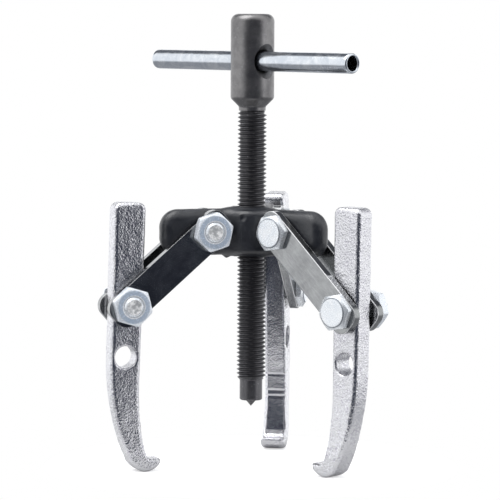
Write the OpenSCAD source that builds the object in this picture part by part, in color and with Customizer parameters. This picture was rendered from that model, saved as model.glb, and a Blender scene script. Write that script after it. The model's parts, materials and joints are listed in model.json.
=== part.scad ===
// Three-jaw gear puller with a forcing screw, a yoke, paired straps and hooked jaws.
// The origin is the centre of the flat end of the screw's nose, +Z runs up the screw.

/* [Forcing screw] */
// Outside diameter of the thread
thread_d = 14; // [13.6:0.1:14]
// Pitch of the thread
pitch = 2; // [1.5:0.25:2.5]
// Length of the threaded part
thread_len = 130.4; // [118:0.2:140]
// Diameter of the plain nose
nose_d = 11; // [10:0.5:11.5]
// Length of the plain nose
nose_len = 9.8; // [8:0.2:12]
// Diameter of the plain neck under the head
neck_d = 13; // [12:0.5:13.5]
// Diameter of the head
head_d = 21; // [20:0.5:24]
// Length of the straight part of the head
head_len = 40.5; // [38:0.5:46]
// Diameter of the cross hole for the tommy bar
cross_hole_d = 10.8; // [10.4:0.1:11.2]

/* [Tommy bar] */
// Outside diameter of the bar
bar_d = 9.6; // [9:0.2:10]
// Bore of the tube that the bar is made from
bar_bore_d = 6.8; // [5:0.2:7.4]
// Length of the bar
bar_len = 141; // [120:1:160]
// Direction of the bar seen from above, in degrees
bar_angle = -36.6; // [-90:0.1:90]

/* [Yoke] */
// Height of the yoke's arms
yoke_h = 22.5; // [21:0.5:24]
// Thickness of the yoke's arms, and of the jaws
arm_t = 11; // [10:0.5:12]
// Diameter of the hub that the screw runs in
hub_d = 28; // [26:0.5:28]
// Distance from the screw to a yoke pivot
yoke_pivot_r = 23.7; // [23:0.1:26]
// Distance from the screw to the tip of a yoke arm
arm_tip_r = 46.4; // [45:0.2:48]

/* [Straps and bolts] */
// Distance between the two holes of a strap
strap_pitch = 53; // [52:0.5:56]
// Width of a strap
strap_w = 16; // [15:0.5:17]
// Thickness of a strap
strap_t = 4.5; // [4:0.5:5]
// Diameter of the bolts' shanks
bolt_d = 10; // [9:0.5:10]
// How far a strap runs past its holes
strap_overhang = 10.2; // [8:0.2:10.4]
// Width of the bolt heads across their flats
head_flats = 16; // [15:0.5:17]
// Width of the nuts across their flats
nut_flats = 17; // [16:0.5:17]

/* [Jaws] */
// Height of a jaw above its pivot
jaw_above = 49; // [44:0.2:50]
// Drop from the jaw's pivot to the lowest point of its hook
jaw_below = 80.2; // [76:0.2:84]
// Width of a jaw's stem
stem_w = 16.2; // [15.6:0.2:17]
// Width of the hook across its lip
hook_t = 12.4; // [12:0.2:13]
// Diameter of the spare hole
spare_hole_d = 10.5; // [10.2:0.1:11]
// Drop from the jaw's pivot to the spare hole
spare_drop = 25; // [22:0.5:28]

/* [Hidden] */
$fn = 64;

// Arms 1, 2 and 3 seen from above, and how far each jaw's hook leans outward
arm_angles = [90, 210, 330];
jaw_leans = [5, 1.8, -0.7];
// Turn of each hexagon about its bolt, which is where the wrench left it
yoke_hex_turns = [12, 17, 8];
jaw_hex_turns = [25, 44, 10];

// Fits: hinge clearance on the radius, gap between flat faces, side play of a strap, clearance between threads
pin_gap = 0.075;
face_gap = 0.1;
strap_play = 0.9;
thread_gap = 0.05;
eps = 0.01;

// Thread form of a metric screw
thread_depth = 0.6134 * pitch;
crest_w = pitch / 8;
root_w = pitch / 4;
lead_in = 0.8;

// Stations along the screw, measured from the end of the nose
nose_edge = 0.8;
neck_len = 2;
thread_top = nose_len + thread_len;
shoulder_bottom = thread_top + neck_len;
head_bottom = shoulder_bottom + (head_d - neck_d) / 2;
head_top = head_bottom + head_len;
head_edge = 3.7;
cross_hole_drop = 22.7;
cross_hole_z = head_top - cross_hole_drop;
countersink_d = 16.8;

// Centre point: a hardened pin held loosely in the nose
point_d = 5.3;
point_h = 3;
point_shank_d = 4;
point_shank_len = 11;

// Heights of the pivots
ground_z = -32.3;
yoke_z = 82.1;
pivot_rise = 0.8;
yoke_pivot_z = yoke_z + pivot_rise;
yoke_edge = 3.5;
hub_collar = 0.5;
arm_corner_r = 9;
hub_edge = 3;
hub_mouth_rim = 2;
bore_mouth = 1;

// Strap, jaw and bolt stack across an arm
strap_in = arm_t / 2 + strap_play;
strap_out = strap_in + strap_t;
pin_hole_d = bolt_d + 2 * pin_gap;
bolt_head_h = 4.1;
nut_h = 5.7;
bolt_proud = 0.8;
bolt_end = strap_out + face_gap / 2 + nut_h + bolt_proud;
thread_end_d = bolt_d - 0.2;
bolt_tip_chamfer = 0.8;
head_face_d = 13;
nut_face_d = 16;
nut_sink = 0.4;
strap_corner = 6;

// Jaw outline: long back curve that runs smoothly into the bottom curve, inner curve, lip
back_start = -26;
inner_r = 145;
inner_start = -38;
hook_r = 8.7;
hook_x = -11.6;
lip_h = 6.5;
lip_z = lip_h - jaw_below;
lip_bevel = 0.8;
lip_tip_x = -19.2;
notch_x = -13.6;
inner_x = -7.6;
flare_start = -58;
flare_end = lip_z + 2;
top_round = 2.6;
jaw_edge = 1.2;
bar_bevel = 0.6;
stem_taper = 0.4;

// Points along an arc from angle a0 to angle a1
function arc(cx, cy, r, a0, a1, steps) =
    [for (i = [0:steps]) let (a = a0 + (a1 - a0) * i / steps) [cx + r * cos(a), cy + r * sin(a)]];

// Outline of one thread groove above height z
function thread_ring(z) = [
    [thread_d / 2, z],
    [thread_d / 2, z + crest_w],
    [thread_d / 2 - thread_depth, z + (pitch - root_w + crest_w) / 2],
    [thread_d / 2 - thread_depth, z + (pitch + root_w + crest_w) / 2]
];

// Height of a jaw's pivot that puts the lowest point of its hook on the ground
function jaw_pivot_z(i) =
    ground_z + hook_r - hook_x * sin(jaw_leans[i]) + (jaw_below - hook_r) * cos(jaw_leans[i]);

// Slope of a pair of straps below the horizontal
function strap_slope(i) = asin((yoke_pivot_z - jaw_pivot_z(i)) / strap_pitch);

function jaw_pivot_r(i) = yoke_pivot_r + strap_pitch * cos(strap_slope(i));

// Puts a child drawn along +X at the height and distance of an arm's yoke pivot
module at_yoke_pivot(i) {
    rotate(arm_angles[i])
        translate([yoke_pivot_r, 0, yoke_pivot_z])
            children();
}

// The same at the jaw's pivot
module at_jaw_pivot(i) {
    rotate(arm_angles[i])
        translate([jaw_pivot_r(i), 0, jaw_pivot_z(i)])
            children();
}

// A cylinder along Y, centred on the pivot
module cross_cylinder(d, l) {
    rotate([90, 0, 0])
        cylinder(d = d, h = l, center = true);
}

module screw_profile() {
    rings = floor((thread_len - 2 * lead_in) / pitch);
    thread_start = nose_len + (thread_len - rings * pitch) / 2;
    polygon(concat(
        [[0, 0], [nose_d / 2 - nose_edge, 0]],
        arc(nose_d / 2 - nose_edge, nose_edge, nose_edge, -90, 0, 4),
        [[nose_d / 2, nose_len]],
        [for (i = [0:rings - 1]) each thread_ring(thread_start + i * pitch)],
        [[thread_d / 2 - thread_depth, thread_top]],
        [[neck_d / 2, thread_top], [neck_d / 2, shoulder_bottom], [head_d / 2, head_bottom]],
        arc(head_d / 2 - head_edge, head_top - head_edge, head_edge, 0, 90, 8),
        [[0, head_top]]
    ));
}

module forcing_screw() {
    color("#3b3d42")
        difference() {
            rotate_extrude()
                screw_profile();
            translate([0, 0, cross_hole_z])
                rotate([0, 0, bar_angle])
                    rotate([0, 90, 0])
                        cross_hole();
            translate([0, 0, -eps])
                cylinder(d = point_shank_d + 2 * pin_gap, h = point_shank_len + 1);
        }
}

// Cross hole with a countersink at each mouth
module cross_hole() {
    sink_h = (countersink_d - cross_hole_d) / 2;
    cylinder(d = cross_hole_d, h = head_d + 2, center = true);
    for (side = [0, 180])
        rotate([side, 0, 0])
            translate([0, 0, head_d / 2 - sink_h])
                cylinder(d1 = cross_hole_d, d2 = cross_hole_d + 4 * sink_h, h = 2 * sink_h);
}

module centre_point() {
    color("#2f3136")
        rotate_extrude()
            polygon([
                [0, -face_gap - point_h],
                [point_d / 2, -face_gap],
                [point_shank_d / 2, -face_gap],
                [point_shank_d / 2, point_shank_len],
                [0, point_shank_len]
            ]);
}

module tommy_bar() {
    color("#a9b2bc")
        translate([0, 0, cross_hole_z])
            rotate([0, 0, bar_angle])
                rotate([0, 90, 0])
                    rotate_extrude()
                        polygon([
                            [bar_bore_d / 2, -bar_len / 2],
                            [bar_d / 2 - bar_bevel, -bar_len / 2],
                            [bar_d / 2, -bar_len / 2 + bar_bevel],
                            [bar_d / 2, bar_len / 2 - bar_bevel],
                            [bar_d / 2 - bar_bevel, bar_len / 2],
                            [bar_bore_d / 2, bar_len / 2]
                        ]);
}

// One arm of the yoke along +X: a bar with rounded edges, its end rounded at the top and the bottom corner
module yoke_arm() {
    end_x = arm_tip_r - arm_corner_r;
    corner_z = yoke_h / 2 - arm_corner_r;
    for (side = [-1, 1])
        translate([end_x, 0, side * corner_z])
            rotate([90, 0, 0])
                rotate_extrude()
                    half_section(arm_corner_r);
    translate([end_x, 0, -corner_z])
        linear_extrude(2 * corner_z)
            half_section(arm_corner_r);
    rotate([90, 0, 90])
        linear_extrude(end_x)
            rotate(90)
                rounded_section(yoke_h);
}

// Cross-section of an arm, h along X and the arm's thickness along Y
module rounded_section(h) {
    square([h, arm_t - 2 * yoke_edge], center = true);
    square([h - 2 * yoke_edge, arm_t], center = true);
    for (x = [-1, 1], y = [-1, 1])
        translate([x * (h / 2 - yoke_edge), y * (arm_t / 2 - yoke_edge)])
            circle(yoke_edge);
}

// The half of a section with X above 0, as far as x = r
module half_section(r) {
    intersection() {
        rounded_section(2 * r);
        translate([0, -arm_t])
            square([r + 1, 2 * arm_t]);
    }
}

module hub() {
    hub_h = yoke_h + 2 * hub_collar;
    rotate_extrude()
        polygon(concat(
            [[0, -hub_h / 2], [thread_d / 2 + hub_mouth_rim, -hub_h / 2]],
            arc(hub_d / 2 - hub_edge, -yoke_h / 2 + hub_edge, hub_edge, -90, 0, 6),
            arc(hub_d / 2 - hub_edge, yoke_h / 2 - hub_edge, hub_edge, 0, 90, 6),
            [[thread_d / 2 + hub_mouth_rim, hub_h / 2], [0, hub_h / 2]]
        ));
}

module yoke() {
    bore_d = thread_d + 2 * thread_gap;
    color("#26282c")
        difference() {
            translate([0, 0, yoke_z])
                union() {
                    hub();
                    for (a = arm_angles)
                        rotate(a)
                            yoke_arm();
                }
            translate([0, 0, yoke_z - yoke_h])
                cylinder(d = bore_d, h = 2 * yoke_h);
            for (side = [-1, 1])
                translate([0, 0, yoke_z + side * (yoke_h / 2 + hub_collar)])
                    cylinder(d1 = bore_d - side * 2 * bore_mouth, d2 = bore_d + side * 2 * bore_mouth,
                        h = 2 * bore_mouth, center = true);
            for (i = [0:2])
                at_yoke_pivot(i)
                    cross_cylinder(pin_hole_d, 2 * arm_t);
        }
}

// Strap of an arm, on its left (+1) or right (-1) side seen from the tip of the arm
module strap(i, side) {
    color("#9a9d9f")
        at_yoke_pivot(i)
            rotate([0, strap_slope(i), 0])
                translate([0, side * (strap_in + strap_out) / 2, 0])
                    difference() {
                        rotate([90, 0, 0])
                            linear_extrude(strap_t, center = true)
                                strap_outline();
                        for (x = [0, strap_pitch])
                            translate([x, 0, 0])
                                cross_cylinder(pin_hole_d, 2 * strap_t);
                    }
}

// Flat bar with rounded corners that runs past both holes
module strap_outline() {
    straight_x = strap_overhang - strap_corner;
    straight_y = strap_w / 2 - strap_corner;
    translate([-strap_overhang, -straight_y])
        square([strap_pitch + 2 * strap_overhang, 2 * straight_y]);
    translate([-straight_x, -strap_w / 2])
        square([strap_pitch + 2 * straight_x, strap_w]);
    for (x = [-straight_x, strap_pitch + straight_x], y = [-straight_y, straight_y])
        translate([x, y])
            circle(strap_corner);
}

// Side view of a jaw about its pivot: X runs outward, Y runs up
module jaw_side() {
    out = stem_w / 2;
    back_x = out - stem_taper;
    reach = hook_x - back_x;
    drop = hook_r - jaw_below - back_start;
    back_r = (hook_r * hook_r - reach * reach - drop * drop) / (2 * (reach + hook_r));
    back_end = atan2(drop, back_r + reach);
    inner_end = asin((lip_z - inner_start + 2) / inner_r);
    hook_z = -jaw_below + hook_r;
    polygon(concat(
        arc(out - top_round / 2, jaw_above - top_round / 2, top_round / 2, 0, 90, 4),
        arc(-out + top_round, jaw_above - top_round, top_round, 90, 180, 6),
        arc(inner_x - inner_r, inner_start, inner_r, 0, inner_end, 8),
        [[notch_x + 1.2, lip_z + 0.4], [notch_x, lip_z], [lip_tip_x + lip_bevel, lip_z]],
        [[lip_tip_x, lip_z - lip_bevel], [lip_tip_x + 0.4, lip_z - 2.2]],
        arc(hook_x, hook_z, hook_r, 208, 360 + back_end, 12),
        arc(back_x - back_r, back_start, back_r, back_end * 13 / 14, 0, 13)
    ));
}

// Front view of a jaw: its thickness along X, its height along Y
module jaw_front() {
    polygon([
        [-arm_t / 2 + jaw_edge, jaw_above], [-arm_t / 2, jaw_above - jaw_edge],
        [-arm_t / 2, flare_start], [-hook_t / 2, flare_end],
        [-hook_t / 2, jaw_edge - jaw_below], [jaw_edge - hook_t / 2, -jaw_below],
        [hook_t / 2 - jaw_edge, -jaw_below], [hook_t / 2, jaw_edge - jaw_below],
        [hook_t / 2, flare_end], [arm_t / 2, flare_start],
        [arm_t / 2, jaw_above - jaw_edge], [arm_t / 2 - jaw_edge, jaw_above]
    ]);
}

module jaw(i) {
    color("#b4b6b9")
        at_jaw_pivot(i)
            rotate([0, -jaw_leans[i], 0])
                difference() {
                    intersection() {
                        rotate([90, 0, 0])
                            linear_extrude(hook_t + 1, center = true)
                                jaw_side();
                        rotate([90, 0, 90])
                            linear_extrude(4 * stem_w, center = true)
                                jaw_front();
                    }
                    cross_cylinder(pin_hole_d, 2 * hook_t);
                    translate([0, 0, -spare_drop])
                        cross_cylinder(spare_hole_d, 2 * hook_t);
                }
}

// Hexagon along +Z from its bearing face, chamfered at 30 degrees down to its round far face
module hexagon(flats, h, face_d) {
    corner_d = flats / cos(30);
    chamfer = (corner_d - face_d) / 2 * tan(30);
    intersection() {
        cylinder(d = corner_d, h = h, $fn = 6);
        union() {
            cylinder(d = corner_d + 1, h = h - chamfer);
            translate([0, 0, h - chamfer])
                cylinder(d1 = corner_d, d2 = face_d, h = chamfer);
        }
    }
}

// Bolt across an arm, its head on the right side seen from the tip of the arm
module bolt(turn) {
    color("#c9cccf")
        union() {
            rotate([90, 0, 0])
                translate([0, 0, strap_out + face_gap / 2])
                    rotate(turn)
                        hexagon(head_flats, bolt_head_h, head_face_d);
            rotate([90, 0, 0])
                translate([0, 0, -strap_out])
                    cylinder(d = bolt_d, h = 2 * strap_out + face_gap);
            rotate([-90, 0, 0])
                rotate_extrude()
                    polygon([
                        [0, 0],
                        [thread_end_d / 2, 0],
                        [thread_end_d / 2, bolt_end - bolt_tip_chamfer],
                        [thread_end_d / 2 - bolt_tip_chamfer, bolt_end],
                        [0, bolt_end]
                    ]);
        }
}

module nut(turn) {
    bore_d = thread_end_d + 2 * thread_gap;
    color("#bcc4cd")
        rotate([-90, 0, 0])
            translate([0, 0, strap_out + face_gap / 2])
                difference() {
                    rotate(turn)
                        hexagon(nut_flats, nut_h, nut_face_d);
                    translate([0, 0, -1])
                        cylinder(d = bore_d, h = nut_h + 2);
                    translate([0, 0, nut_h - nut_sink])
                        cylinder(d1 = bore_d, d2 = bore_d + 4 * nut_sink, h = 2 * nut_sink);
                }
}

module yoke_bolt(i) {
    at_yoke_pivot(i)
        bolt(yoke_hex_turns[i]);
}

module yoke_nut(i) {
    at_yoke_pivot(i)
        nut(yoke_hex_turns[i]);
}

module jaw_bolt(i) {
    at_jaw_pivot(i)
        bolt(jaw_hex_turns[i]);
}

module jaw_nut(i) {
    at_jaw_pivot(i)
        nut(jaw_hex_turns[i]);
}

forcing_screw();
centre_point();
tommy_bar();
yoke();
strap(0, 1);  // strap_1_left
strap(0, -1);  // strap_1_right
strap(1, 1);  // strap_2_left
strap(1, -1);  // strap_2_right
strap(2, 1);  // strap_3_left
strap(2, -1);  // strap_3_right
jaw(0);  // jaw_1
jaw(1);  // jaw_2
jaw(2);  // jaw_3
yoke_bolt(0);  // yoke_bolt_1
yoke_bolt(1);  // yoke_bolt_2
yoke_bolt(2);  // yoke_bolt_3
yoke_nut(0);  // yoke_nut_1
yoke_nut(1);  // yoke_nut_2
yoke_nut(2);  // yoke_nut_3
jaw_bolt(0);  // jaw_bolt_1
jaw_bolt(1);  // jaw_bolt_2
jaw_bolt(2);  // jaw_bolt_3
jaw_nut(0);  // jaw_nut_1
jaw_nut(1);  // jaw_nut_2
jaw_nut(2);  // jaw_nut_3
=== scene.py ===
"""Three-jaw gear puller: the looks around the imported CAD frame.

Sizes are in millimetres until a mesh is made; places read from the frame are in metres.
"""

import json
import math

import bmesh
import bpy
import numpy as np
from mathutils import Matrix, Vector


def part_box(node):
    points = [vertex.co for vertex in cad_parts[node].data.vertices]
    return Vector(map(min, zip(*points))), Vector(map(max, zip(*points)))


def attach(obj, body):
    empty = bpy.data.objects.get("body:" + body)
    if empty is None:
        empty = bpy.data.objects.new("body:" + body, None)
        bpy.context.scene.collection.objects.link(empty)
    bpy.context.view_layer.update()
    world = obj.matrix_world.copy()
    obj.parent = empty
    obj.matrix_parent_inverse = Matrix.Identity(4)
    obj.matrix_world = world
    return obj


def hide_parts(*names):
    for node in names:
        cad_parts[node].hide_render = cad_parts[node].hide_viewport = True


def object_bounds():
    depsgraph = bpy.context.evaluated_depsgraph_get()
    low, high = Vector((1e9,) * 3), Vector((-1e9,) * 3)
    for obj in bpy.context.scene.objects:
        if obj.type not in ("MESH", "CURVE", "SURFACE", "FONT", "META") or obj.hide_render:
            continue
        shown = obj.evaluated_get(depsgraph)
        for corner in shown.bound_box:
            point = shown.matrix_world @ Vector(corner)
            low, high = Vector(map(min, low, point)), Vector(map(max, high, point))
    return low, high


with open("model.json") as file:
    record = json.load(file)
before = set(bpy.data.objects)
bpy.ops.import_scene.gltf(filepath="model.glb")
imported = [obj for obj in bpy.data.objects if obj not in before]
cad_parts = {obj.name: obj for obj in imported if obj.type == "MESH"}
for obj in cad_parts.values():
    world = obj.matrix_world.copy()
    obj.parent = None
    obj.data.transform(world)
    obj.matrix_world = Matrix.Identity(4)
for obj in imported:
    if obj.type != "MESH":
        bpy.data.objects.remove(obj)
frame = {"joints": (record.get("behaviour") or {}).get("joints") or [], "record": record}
CAD_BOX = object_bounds()

MM = 0.001
JOINTS = {j["name"]: j for j in frame["joints"]}
MOUNTS = {m["name"]: m for m in frame["record"]["mounts"]}
UP = Vector((0, 0, 1))
ARMS = (1, 2, 3)
ROUND = 96  # steps round a turned piece; a multiple of 6, so that the sides of a hexagon match

# Forcing screw
THREAD_R, PITCH, THREAD_DEPTH = 7.0, 2.0, 1.18
NOSE_R, NOSE_LEN, NECK_R, NECK_LEN = 5.5, 9.8, 6.5, 2.0
THREAD_TOP = 140.2
HEAD_R, HEAD_EDGE, HOLE_R, SINK = 10.5, 3.7, 5.4, 3.0
HEAD_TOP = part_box("forcing_screw")[1].z / MM
HEAD_BOTTOM = THREAD_TOP + NECK_LEN + HEAD_R - NECK_R
# Centre point: how far its cone stands out of the nose, and the shank inside
POINT_DROP, POINT_R, POINT_SHANK_R, POINT_TOP = 3.1, 2.62, 1.95, 10.9
# Tommy bar: the seam's angle round the tube in degrees, its depth and its spread
BAR_R, BAR_BORE_R = 4.8, 3.4
SEAM_ANGLE, SEAM_DEPTH, SEAM_SPREAD = 152, 0.38, 3.2
# Yoke
YOKE_HALF_H, YOKE_HALF_T, YOKE_TIP, YOKE_CORNER = 11.25, 5.5, 46.4, 9.0
HUB_R, HUB_HALF_H, COLLAR_R, BORE_R = 14.0, 11.75, 9.2, 7.12
YOKE_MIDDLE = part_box("yoke")[0].z / MM + HUB_HALF_H
# Straps: those of arm 2 were sheared crisp, are barely scuffed and have only a faint painted arris highlight,
# as the photo shows
STRAP_HALF_W, STRAP_T, STRAP_PAST, STRAP_CORNER = 8.0, 4.5, 10.2, 6.0
STRAP_IN = 6.4
STRAP_OUT = STRAP_IN + STRAP_T
EDGE_SOFT, EDGE_CRISP, CRISP_ARM = 0.45, 0.18, 2
# Strength of the pale band on the straps' arrises, partly scuffing and partly a painted highlight
ARRIS_WEAR_AND_HIGHLIGHT, CRISP_ARRIS_WEAR_AND_HIGHLIGHT = 1.0, 0.25
# Bolts and nuts; the turns are the angle of a corner on each arm's yoke and jaw fasteners, in degrees
BOLT_R, HEAD_FLATS, HEAD_FACE_R, HEAD_H = 5.0, 16.0, 6.7, 4.1
NUT_FLATS, NUT_FACE_R, NUT_H, NUT_BORE_R = 17.0, 8.0, 5.7, 4.95
BOLT_END = 17.45
HEAD_GAP, NUT_GAP = 0.05, 0.04
CHAMFER_SLOPE = math.tan(math.radians(30))
FASTENER_TURNS = {1: (12, 25), 2: (17, 44), 3: (8, 10)}
# Jaws, from the lower bolt's axis: the stem's two top corners, the long curves in front and behind, the hook
JAW_TOP, JAW_BOTTOM, STEM_HALF_W, JAW_HALF_T, HOOK_HALF_T = 49.0, -80.2, 8.1, 5.5, 6.2
LIP_Z, LIP_TIP, NOTCH_X, HOOK_R, HOOK_X = -73.7, -19.2, -13.6, 8.7, -11.6
OUTER_CORNER, INNER_CORNER, BACK_TOP = 4.0, 3.6, -26
INNER_X, INNER_TOP, INNER_R, INNER_ABOVE_LIP = -7.6, -38, 145, 3.2
PIN_R, SPARE_R, SPARE_DROP = 5.075, 5.25, 25.0
FLARE_TOP, FLARE_LEN = -58, 13.7
# Below TRIM_TOP the flash was trimmed off a jaw's inner face; each ridge left is (height, width, depth)
TRIM_TOP = -36
RIDGES = ((-51.2, 0.45, 1.0), (-54.0, 0.5, 0.8), (-43.0, 0.4, 0.5))
# Camera, fitted to the photo: angles in degrees but for the roll in radians, places in metres
CAMERA_HEADING, CAMERA_TILT, CAMERA_ROLL = 101.61, 4.579, 0.0047
CAMERA_AWAY, CAMERA_HEIGHT = 1.452, 0.1891
SENSOR_WIDTH, LENS, SHIFT_X = 36, 216.84, -0.0032
# Studio, lengths in metres
LIGHT_AIM = (0, 0, 0.06)
TENT_DARK, TENT_WHITE = (0.046, 0.053, 0.074, 1), (1.20, 1.21, 1.23, 1)
STRIP_WHITE, BACKDROP = (2.2, 2.2, 2.25, 1), (1, 1, 1, 1)


# ---------------------------------------------------------------- frames

def matrix(origin, x, y, z):
    m = Matrix((x, y, z)).transposed().to_4x4()
    m.translation = origin
    return m


def arm_frames(k):
    """Frames of arm k: yoke arm, strap, jaw and the two bolts, from the record's joints and spare hole."""
    p = Vector(JOINTS[f"strap_pivot_{k}"]["pos_m"])
    q = Vector(JOINTS[f"jaw_pivot_{k}"]["pos_m"])
    s = Vector(MOUNTS[f"jaw_{k}_spare_hole"]["pos_m"])
    out = Vector((p.x, p.y, 0)).normalized()
    side = UP.cross(out)
    along = (q - p).normalized()
    jaw_up = (q - s).normalized()
    return {
        "out": out, "side": side, "length": (q - p).length / MM,
        "yoke": matrix(p, out, side, UP), "jaw_pin": matrix(q, out, side, UP),
        "strap": matrix(p, along, side, along.cross(side)),
        "jaw": matrix(q, side.cross(jaw_up), side, jaw_up),
    }


def bar_frame():
    """Frame at the tommy bar's middle, X along it, and its length."""
    lo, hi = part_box("tommy_bar")
    x = Vector(JOINTS["bar_slide"]["axis"]).normalized()
    spread = (hi - lo).x / MM - 2 * BAR_R * abs(x.y)
    return matrix((lo + hi) / 2, x, UP.cross(x), UP), spread / abs(x.x)


def yoke_pin():
    """Where a bolt crosses its yoke arm: how far out from the screw, and how high from the yoke's middle."""
    pin = FRAMES[1]["yoke"].translation
    return pin.xy.length / MM, pin.z / MM - YOKE_MIDDLE


# ---------------------------------------------------------------- mesh tools

def arc(cx, cy, r, a0, a1, steps):
    return [(cx + r * math.cos(math.radians(a0 + (a1 - a0) * i / steps)),
             cy + r * math.sin(math.radians(a0 + (a1 - a0) * i / steps))) for i in range(steps + 1)]


def filleted(points, steps=6):
    """A polyline whose inner corners (x, y, radius) are rounded to their radius."""
    out = [points[0][:2]]
    for before, here, after in zip(points, points[1:], points[2:]):
        p = Vector(here[:2])
        a, b = (Vector(before[:2]) - p), (Vector(after[:2]) - p)
        r = here[2] if len(here) > 2 else 0
        if r <= 0:
            out.append(tuple(p))
            continue
        half = a.angle(b) / 2
        cut = min(r / math.tan(half), 0.49 * a.length, 0.49 * b.length)
        r = cut * math.tan(half)
        a.normalize(), b.normalize()
        centre = p + (a + b).normalized() * (r / math.sin(half))
        start, end = p + a * cut - centre, p + b * cut - centre
        for i in range(steps + 1):
            t = i / steps
            v = (start * (1 - t) + end * t).normalized() * r
            out.append(tuple(centre + v))
    out.append(points[-1][:2])
    return out


def linked(name, data):
    """A new object with this data, in the scene."""
    obj = bpy.data.objects.new(name, data)
    bpy.context.scene.collection.objects.link(obj)
    return obj


def smooth(mesh, sharp):
    mesh.polygons.foreach_set("use_smooth", [True] * len(mesh.polygons))
    mesh.set_sharp_from_angle(angle=math.radians(sharp))


def new_object(name, verts, faces, sharp=35):
    """An object from millimetre vertices, smooth but for edges sharper than the angle."""
    mesh = bpy.data.meshes.new(name)
    mesh.from_pydata((np.asarray(verts, float) * MM).tolist(), [], faces)
    bm = bmesh.new()
    bm.from_mesh(mesh)
    bmesh.ops.remove_doubles(bm, verts=bm.verts, dist=2e-6)
    bmesh.ops.dissolve_degenerate(bm, edges=bm.edges, dist=1e-6)
    bmesh.ops.recalc_face_normals(bm, faces=bm.faces)
    bm.to_mesh(mesh)
    bm.free()
    smooth(mesh, sharp)
    return linked(name, mesh)


def finished(name, bm, sharp):
    """An object from a bmesh, which is freed."""
    mesh = bpy.data.meshes.new(name)
    bm.to_mesh(mesh)
    bm.free()
    smooth(mesh, sharp)
    return linked(name, mesh)


def turned(profile, n=ROUND, closed=False):
    """Vertices and faces of a turned shape.

    Each profile entry is (radius, height), numbers or arrays round the turn.
    closed joins the last row to the first, as on a ring.
    """
    angle = np.arange(n) * 2 * math.pi / n
    rows = []
    for r, z in profile:
        r, z = np.broadcast_to(r, n), np.broadcast_to(z, n)
        rows.append(np.stack([r * np.cos(angle), r * np.sin(angle), z], 1))
    verts = np.concatenate(rows)
    last = len(rows) if closed else len(rows) - 1
    faces = []
    for j in range(last):
        a, b = j * n, ((j + 1) % len(rows)) * n
        faces += [(a + i, a + (i + 1) % n, b + (i + 1) % n, b + i) for i in range(n)]
    return verts, faces


def helix(z0, z1, radius, pitch, shape, n):
    """A threaded stretch from z0 to z1.

    shape lists (phase, depth) over one pitch, and radius(z, depth) gives the surface.
    """
    per = len(shape)
    turns = math.ceil((z1 - z0) / pitch) + 2
    rows = turns * per
    angle = np.arange(n) * 2 * math.pi / n
    verts = []
    for j in range(rows):
        phase, depth = shape[j % per]
        z = np.clip(z0 + pitch * (j // per - 1 + phase + np.arange(n) / n), z0, z1)
        r = radius(z, depth)
        verts.append(np.stack([r * np.cos(angle), r * np.sin(angle), z], 1))
    faces = []
    for j in range(rows - 1):
        a, b = j * n, (j + 1) * n
        faces += [(a + i, a + i + 1, b + i + 1, b + i) for i in range(n - 1)]
        if j + per + 1 < rows:
            c = (j + per) * n
            faces.append((a + n - 1, c, c + n, b + n - 1))
    return np.concatenate(verts), faces


def merged(*parts):
    """One set of vertices and faces from several."""
    verts, faces, base = [], [], 0
    for v, f in parts:
        verts.append(v)
        faces += [tuple(i + base for i in face) for face in f]
        base += len(v)
    return np.concatenate(verts), faces


def placed(obj, m):
    """Moves the mesh itself into place, and keeps its own coordinates for its material."""
    mesh = obj.data
    own = mesh.attributes.new("own_place", "FLOAT_VECTOR", "POINT")
    co = np.empty(len(mesh.vertices) * 3, np.float32)
    mesh.vertices.foreach_get("co", co)
    own.data.foreach_set("vector", co)
    mesh.transform(m)
    return obj


def cut(obj, cutter):
    """Takes the cutter's space out of obj's mesh, and removes the cutter."""
    tool = obj.modifiers.new("cut", "BOOLEAN")
    tool.operation = "DIFFERENCE"
    tool.solver = "EXACT"
    tool.object = cutter
    bpy.context.view_layer.update()
    graph = bpy.context.evaluated_depsgraph_get()
    mesh = bpy.data.meshes.new_from_object(obj.evaluated_get(graph))
    obj.modifiers.clear()
    obj.data = mesh
    bpy.data.objects.remove(cutter)


# ---------------------------------------------------------------- solid fields, for forgings and castings

def rounded_extrusion(flat, across, half, r):
    """Distance to a flat outline given thickness, with its edges rounded to r."""
    a, b = flat + r, np.abs(across) - half + r
    return np.minimum(np.maximum(a, b), 0) + np.hypot(np.maximum(a, 0), np.maximum(b, 0)) - r


def soft_min(a, b, k):
    """The smaller of two distances, blended over k where they are close."""
    h = np.clip(0.5 + 0.5 * (b - a) / k, 0, 1)
    return b + (a - b) * h - k * h * (1 - h)


def soft_max(a, b, k):
    return -soft_min(-a, -b, k)


def outline_distance(points, x, y):
    """Signed distance to a closed outline, negative inside."""
    p = np.asarray(points, float)
    best = np.full(np.broadcast(x, y).shape, 1e9)
    inside = np.zeros(best.shape, bool)
    for (ax, ay), (bx, by) in zip(p, np.roll(p, -1, 0)):
        ex, ey = bx - ax, by - ay
        wx, wy = x - ax, y - ay
        t = np.clip((wx * ex + wy * ey) / max(ex * ex + ey * ey, 1e-12), 0, 1)
        best = np.minimum(best, (wx - ex * t) ** 2 + (wy - ey * t) ** 2)
        if ay != by:
            inside ^= ((ay > y) != (by > y)) & (x < ex * (y - ay) / ey + ax)
    return np.where(inside, -1, 1) * np.sqrt(best)


def lattice(i, j, k, seed):
    """A fixed scatter of values from 0 to 1, one for each lattice point."""
    h = np.sin(i * 127.1 + j * 311.7 + k * 74.7 + seed * 53.3) * 43758.5453
    return h - np.floor(h)


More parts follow.
